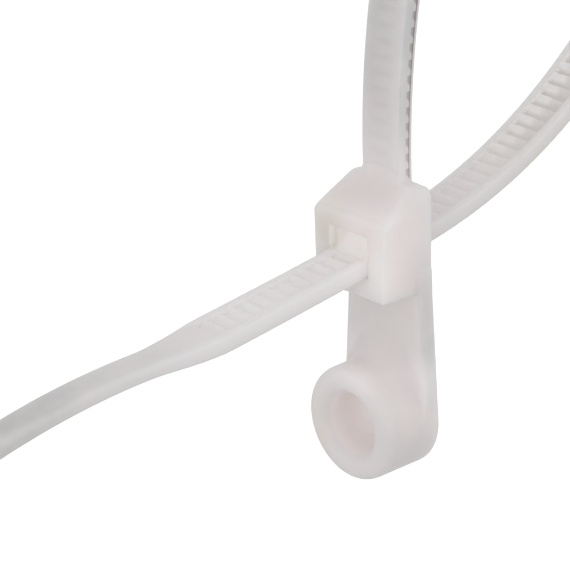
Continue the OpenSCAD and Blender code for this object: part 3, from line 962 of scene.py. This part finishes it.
def add_math(tree, operation, x, y, first, second=None, clamp=False):
    """Math node fed by sockets or by numbers"""
    node = add_node(tree, "ShaderNodeMath", x, y, operation=operation, use_clamp=clamp)
    for slot, value in enumerate((first, second)):
        if value is None:
            continue
        if isinstance(value, (int, float)):
            node.inputs[slot].default_value = value
        else:
            tree.links.new(value, node.inputs[slot])
    return node.outputs[0]


def add_mix(tree, x, y, factor, first, second):
    """Mix of two colours, each a socket or a colour"""
    node = add_node(tree, "ShaderNodeMix", x, y, data_type="RGBA")
    for socket, value in ((node.inputs[0], factor), (node.inputs[6], first), (node.inputs[7], second)):
        if hasattr(value, "is_linked"):
            tree.links.new(value, socket)
        elif isinstance(value, (int, float)):
            socket.default_value = value
        else:
            socket.default_value = (*value, 1)
    return node.outputs[2]


def new_group(name, inputs, outputs):
    """Shader node group with named sockets: the tree, its inputs and its output node"""
    tree = bpy.data.node_groups.new(name, "ShaderNodeTree")
    for socket, kind in inputs.items():
        tree.interface.new_socket(socket, in_out="INPUT", socket_type=kind)
    for socket, kind in outputs.items():
        tree.interface.new_socket(socket, in_out="OUTPUT", socket_type=kind)
    entry = add_node(tree, "NodeGroupInput", -1400, 0)
    leave = add_node(tree, "NodeGroupOutput", 400, 0)
    return tree, entry.outputs, leave.inputs


def add_ramp(tree, x, y, value, start, slope):
    """Rise from 0 to 1 from where a value passes its start; a negative slope rises below it"""
    past = add_math(tree, "SUBTRACT", x - 100, y, value, start)
    return add_math(tree, "MULTIPLY", x, y, past, slope, clamp=True)


def add_product(tree, x, y, *factors):
    """Product of sockets and numbers"""
    result = factors[0]
    for step, factor in enumerate(factors[1:]):
        result = add_math(tree, "MULTIPLY", x + 100 * step, y, result, factor)
    return result


def add_mark(tree, x, y, name):
    """Value that the mesh stores at each point under a name"""
    return add_node(tree, "ShaderNodeAttribute", x, y, attribute_name=name).outputs["Fac"]


def add_noise(tree, x, y, where, size, detail, roughness=0.5):
    """Soft noise with blots of a size"""
    noise = add_node(tree, "ShaderNodeTexNoise", x, y, Scale=1 / size, Detail=detail, Roughness=roughness)
    tree.links.new(where, noise.inputs["Vector"])
    return noise.outputs["Fac"]


def teeth_shade_group(tie):
    """Group that paints shade on the strap where the shaded gaps between its teeth show through its sides
    and its outer face. Height is a share of a tooth over the floor, and Across is in millimetres"""
    number = "NodeSocketFloat"
    tree, given, result = new_group(
        "Painted teeth shade", {"Tooth": number, "Height": number, "Across": number}, {"Shade": number})
    height, across = given["Height"], given["Across"]
    gap_depth, line_depth, face_depth = 0.6, 0.65, 0.07
    gap_top, gap_fall, fall_start, fall_end = 0.1, 0.75, 0.3, 0.6
    rail_foot, outer_face, band_phase = 0.5, -1.4, 0.9
    side_face, half_ladder = (tie.half_w - 0.1 * MM) / MM, tie.half_ladder / MM
    phase = add_math(tree, "FRACT", -1200, 300, given["Tooth"])
    fall = add_ramp(tree, -1000, 300, phase, fall_start, 1 / (fall_end - fall_start))
    foot = add_math(tree, "SUBTRACT", -900, 200, gap_top, add_product(tree, -1000, 200, fall, gap_fall))
    gap = add_product(tree, -600, 200, add_ramp(tree, -700, 200, height, foot, 2.5), gap_depth)
    line = add_product(tree, -600, 300, add_ramp(tree, -700, 300, height, 0.0, 4.0), line_depth)
    deep = add_math(tree, "ADD", -500, 200, gap, line)
    below_rim = add_ramp(tree, -600, 100, height, rail_foot, -5.0)
    flank = add_ramp(tree, -600, 0, across, side_face, 20.0)
    side_shade = add_product(tree, -400, 100, deep, below_rim, flank)
    from_band = add_math(tree, "SUBTRACT", -900, -200, phase, band_phase)
    swing = add_math(tree, "COSINE", -700, -200, add_product(tree, -800, -200, from_band, 2 * pi))
    bands = add_ramp(tree, -500, -200, swing, -0.2, 0.8)
    ladder = add_ramp(tree, -600, -300, across, half_ladder, -1.4)
    outside = add_math(tree, "LESS_THAN", -600, -400, height, outer_face)
    face_shade = add_product(tree, -400, -200, bands, ladder, outside, face_depth)
    tree.links.new(add_math(tree, "ADD", 0, 0, side_shade, face_shade, clamp=True), result["Shade"])
    return tree


def nylon_colour(tree, finish, tie, where):
    """Colour of the nylon: its marks with their painted light and shade, its cloudy patches and the painted
    shade of the teeth that show through
    """
    cloud_floor, tint_size = 0.4, finish.cloud_size / 0.6
    painted_light = add_mark(tree, -1000, 350, "painted_light")
    thick = add_mix(tree, -950, 150, add_mark(tree, -1200, 150, "honey"), finish.body, finish.honey)
    grey = add_mix(tree, -850, 150, add_mark(tree, -1000, 250, "thin"), thick, finish.thin)
    plain = add_mix(tree, -700, 250, painted_light, grey, finish.painted_light)
    plain = add_mix(tree, -550, 250, add_mark(tree, -1000, 450, "pocket_shade"), plain, finish.pocket_shade)
    tint = add_noise(tree, -1000, -250, where, tint_size, 2.0)
    warm_or_cool = add_mix(tree, -700, -150, tint, finish.cool, finish.warm)
    clouds = add_noise(tree, -1000, 0, where, finish.cloud_size, 3.0, 0.55)
    strength = add_ramp(tree, -600, 0, clouds, cloud_floor, 4 * finish.clouding)
    not_painted_light = add_math(tree, "SUBTRACT", -600, 100, 1.0, painted_light, clamp=True)
    cloudy = add_product(tree, -500, 0, strength, not_painted_light)
    clouded = add_mix(tree, -400, 100, cloudy, plain, warm_or_cool)
    teeth = add_node(tree, "ShaderNodeGroup", -600, 500, node_tree=teeth_shade_group(tie))
    tree.links.new(add_mark(tree, -1000, 550, "tooth"), teeth.inputs["Tooth"])
    tree.links.new(add_mark(tree, -1000, 650, "height"), teeth.inputs["Height"])
    apart = add_node(tree, "ShaderNodeSeparateXYZ", -1000, 750)
    tree.links.new(where, apart.inputs[0])
    across = add_math(tree, "ABSOLUTE", -800, 750, apart.outputs["X"])
    tree.links.new(add_math(tree, "DIVIDE", -700, 750, across, MM), teeth.inputs["Across"])
    toothed = add_mark(tree, -600, 700, "toothed")
    shade = add_product(tree, -300, 500, teeth.outputs["Shade"], toothed, finish.teeth_shade)
    return add_mix(tree, -200, 300, shade, clouded, finish.gap)


def nylon_material(finish, tie):
    """Milky nylon: cloudy in the thick mouldings, greyer in the thin strap, with painted shade on it and
    painted light brightest at the slot
    """
    material = bpy.data.materials.new("Milky nylon")
    material.use_nodes = True
    tree = material.node_tree
    shader = tree.nodes["Principled BSDF"]
    where = add_node(tree, "ShaderNodeTexCoord", -1400, 0).outputs["Object"]
    tree.links.new(nylon_colour(tree, finish, tie, where), shader.inputs["Base Color"])
    bump = add_node(tree, "ShaderNodeBump", -300, -400, Strength=1.0, Distance=finish.grain)
    tree.links.new(add_noise(tree, -1000, -500, where, finish.grain_size, 2.0), bump.inputs["Height"])
    tree.links.new(bump.outputs["Normal"], shader.inputs["Normal"])
    shader.subsurface_method = "RANDOM_WALK"
    constants = {
        "Roughness": finish.roughness,
        "IOR": 1.53,
        "Specular IOR Level": finish.gloss,
        "Subsurface Weight": finish.scatter,
        "Subsurface Radius": (1.0, 0.92, 0.86),
        "Subsurface Scale": finish.scatter_depth,
    }
    for name, value in constants.items():
        shader.inputs[name].default_value = value
    return material


class TIE_OT_build_tie(bpy.types.Operator):
    """Model the strap, head and eyelet as one moulding"""
    bl_idname = "tie.build_tie"
    bl_label = "Cable Tie"

    CELL = 0.15 * MM
    # Room around the moulding, chosen so that no flat face lies in a plane of the cells
    MARGIN = 1.07 * MM
    SHARP = radians(50)

    def execute(self, context):
        tie = Tie(context.scene)
        reach_x = tie.boss_back_r + self.MARGIN
        low = (-reach_x, -tie.head.depth - self.MARGIN, -reach_x)
        high = (reach_x, self.MARGIN, tie.crown_z + 4 * self.MARGIN)
        moulding = new_object("tie_moulding", *skin_mesh(
            lambda x, y, z: moulding_distance(tie, x, y, z), low, high, self.CELL))
        strap = new_object("tie_strap", *strap_mesh(tie))
        fused(moulding, strap)
        mesh = moulding.data
        mark_finish(tie, mesh)
        mesh.materials.clear()
        mesh.materials.append(nylon_material(context.scene.tie_nylon, tie))
        mesh.polygons.foreach_set("use_smooth", [True] * len(mesh.polygons))
        mesh.set_sharp_from_angle(angle=self.SHARP)
        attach(moulding, BODY)
        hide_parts(NODE)
        return {"FINISHED"}


# Stage

def floor_material(settings):
    """Pale floor that the camera sees as white, with the soft shadow kept"""
    material = bpy.data.materials.new("Pale floor")
    material.use_nodes = True
    tree = material.node_tree
    tree.nodes.remove(tree.nodes["Principled BSDF"])
    paint = add_node(tree, "ShaderNodeBsdfDiffuse", -600, 100, Color=(*settings.floor, 1))
    glow = add_node(tree, "ShaderNodeEmission", -300, -100, Color=(1, 1, 1, 1))
    lifted = add_math(tree, "MULTIPLY", -400, 300, seen_by_camera(tree), settings.floor_lift)
    tree.links.new(lifted, glow.inputs["Strength"])
    both = add_node(tree, "ShaderNodeAddShader", -100, 0)
    tree.links.new(paint.outputs[0], both.inputs[0])
    tree.links.new(glow.outputs[0], both.inputs[1])
    tree.links.new(both.outputs[0], tree.nodes["Material Output"].inputs["Surface"])
    return material


def seen_by_camera(tree):
    """1 for what the camera sees directly, in a reflection or through the part"""
    ray = add_node(tree, "ShaderNodeLightPath", -1000, 400).outputs
    seen = add_math(tree, "MAXIMUM", -800, 400, ray["Is Camera Ray"], ray["Is Glossy Ray"])
    return add_math(tree, "MAXIMUM", -600, 400, seen, ray["Is Transmission Ray"])


def light_world(settings):
    """White all round, with a plain level of light"""
    world = bpy.data.worlds.new("White studio")
    world.use_nodes = True
    bpy.context.scene.world = world
    tree = world.node_tree
    light = tree.nodes["Background"]
    light.inputs["Color"].default_value = (1, 1, 1, 1)
    light.inputs["Strength"].default_value = settings.sky
    white = add_node(tree, "ShaderNodeBackground", 0, -200, Color=(1, 1, 1, 1), Strength=1.0)
    mixed = add_node(tree, "ShaderNodeMixShader", 300, 0)
    tree.links.new(seen_by_camera(tree), mixed.inputs[0])
    tree.links.new(light.outputs[0], mixed.inputs[1])
    tree.links.new(white.outputs[0], mixed.inputs[2])
    tree.links.new(mixed.outputs[0], tree.nodes["World Output"].inputs["Surface"])


def look_at(obj, where, target, roll=0.0):
    """Places a lamp or camera so that it faces a target"""
    turn = (Vector(target) - Vector(where)).to_track_quat("-Z", "Y").to_matrix().to_4x4()
    obj.matrix_world = Matrix.Translation(where) @ turn @ Matrix.Rotation(-roll, 4, "Z")


def soft_lamp(name, where, target, size, power):
    """Square area lamp"""
    lamp = bpy.data.lights.new(name, "AREA")
    lamp.size = size
    lamp.energy = power
    obj = bpy.data.objects.new(name, lamp)
    bpy.context.collection.objects.link(obj)
    look_at(obj, where, target)


class TIE_OT_build_stage(bpy.types.Operator):
    """Set up the floor, the light and the camera"""
    bl_idname = "tie.build_stage"
    bl_label = "Stage"

    # Name, place, side in metres and power in watts of each lamp
    LAMPS = (
        ("Key lamp", (0.66, 0.20, 0.12), 0.35, 0.45),
        ("Front lamp", (0.30, -0.58, 0.10), 0.50, 1.0),
    )
    NEAREST = 10 * MM

    def execute(self, context):
        settings = context.scene.tie_stage
        low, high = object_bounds()
        ground = low.z - settings.floor_drop
        half = settings.floor_size / 2
        corners = [(half * x, half * y, ground) for x, y in ((-1, -1), (1, -1), (1, 1), (-1, 1))]
        floor_object = new_object("stage_floor", corners, [[0, 1, 2, 3]])
        floor_object.data.materials.append(floor_material(settings))
        floor_object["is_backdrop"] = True
        light_world(settings)
        for name, where, size, power in self.LAMPS:
            soft_lamp(name, where, settings.target, size, power)
        camera = bpy.data.cameras.new("Camera")
        camera.lens = settings.focal_length
        camera.clip_start = self.NEAREST
        obj = bpy.data.objects.new("Camera", camera)
        context.collection.objects.link(obj)
        look_at(obj, settings.camera, settings.target, settings.roll)
        context.scene.camera = obj
        context.scene.view_settings.view_transform = "Standard"
        return {"FINISHED"}


class TIE_PT_sidebar(bpy.types.Panel):
    """Settings of the cable tie and the buttons that build it"""
    bl_label = "Cable Tie"
    bl_idname = "TIE_PT_sidebar"
    bl_space_type = "VIEW_3D"
    bl_region_type = "UI"
    bl_category = "Cable Tie"

    def draw(self, context):
        layout = self.layout
        for operator in OPERATORS:
            layout.operator(operator.bl_idname)
        for name, group in SETTINGS.items():
            box = layout.box()
            box.label(text=group.__doc__)
            for setting in group.__annotations__:
                box.prop(getattr(context.scene, name), setting)


OPERATORS = (TIE_OT_build_tie, TIE_OT_build_stage)


def register():
    for name, group in SETTINGS.items():
        bpy.utils.register_class(group)
        setattr(bpy.types.Scene, name, bpy.props.PointerProperty(type=group))
    for operator in OPERATORS:
        bpy.utils.register_class(operator)
    bpy.utils.register_class(TIE_PT_sidebar)


def unregister():
    bpy.utils.unregister_class(TIE_PT_sidebar)
    for operator in reversed(OPERATORS):
        bpy.utils.unregister_class(operator)
    for name, group in reversed(SETTINGS.items()):
        delattr(bpy.types.Scene, name)
        bpy.utils.unregister_class(group)


def main():
    """Builds the tie and its stage"""
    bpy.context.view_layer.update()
    register()
    bpy.ops.tie.build_tie()
    bpy.ops.tie.build_stage()


if __name__ == "__main__":
    main()
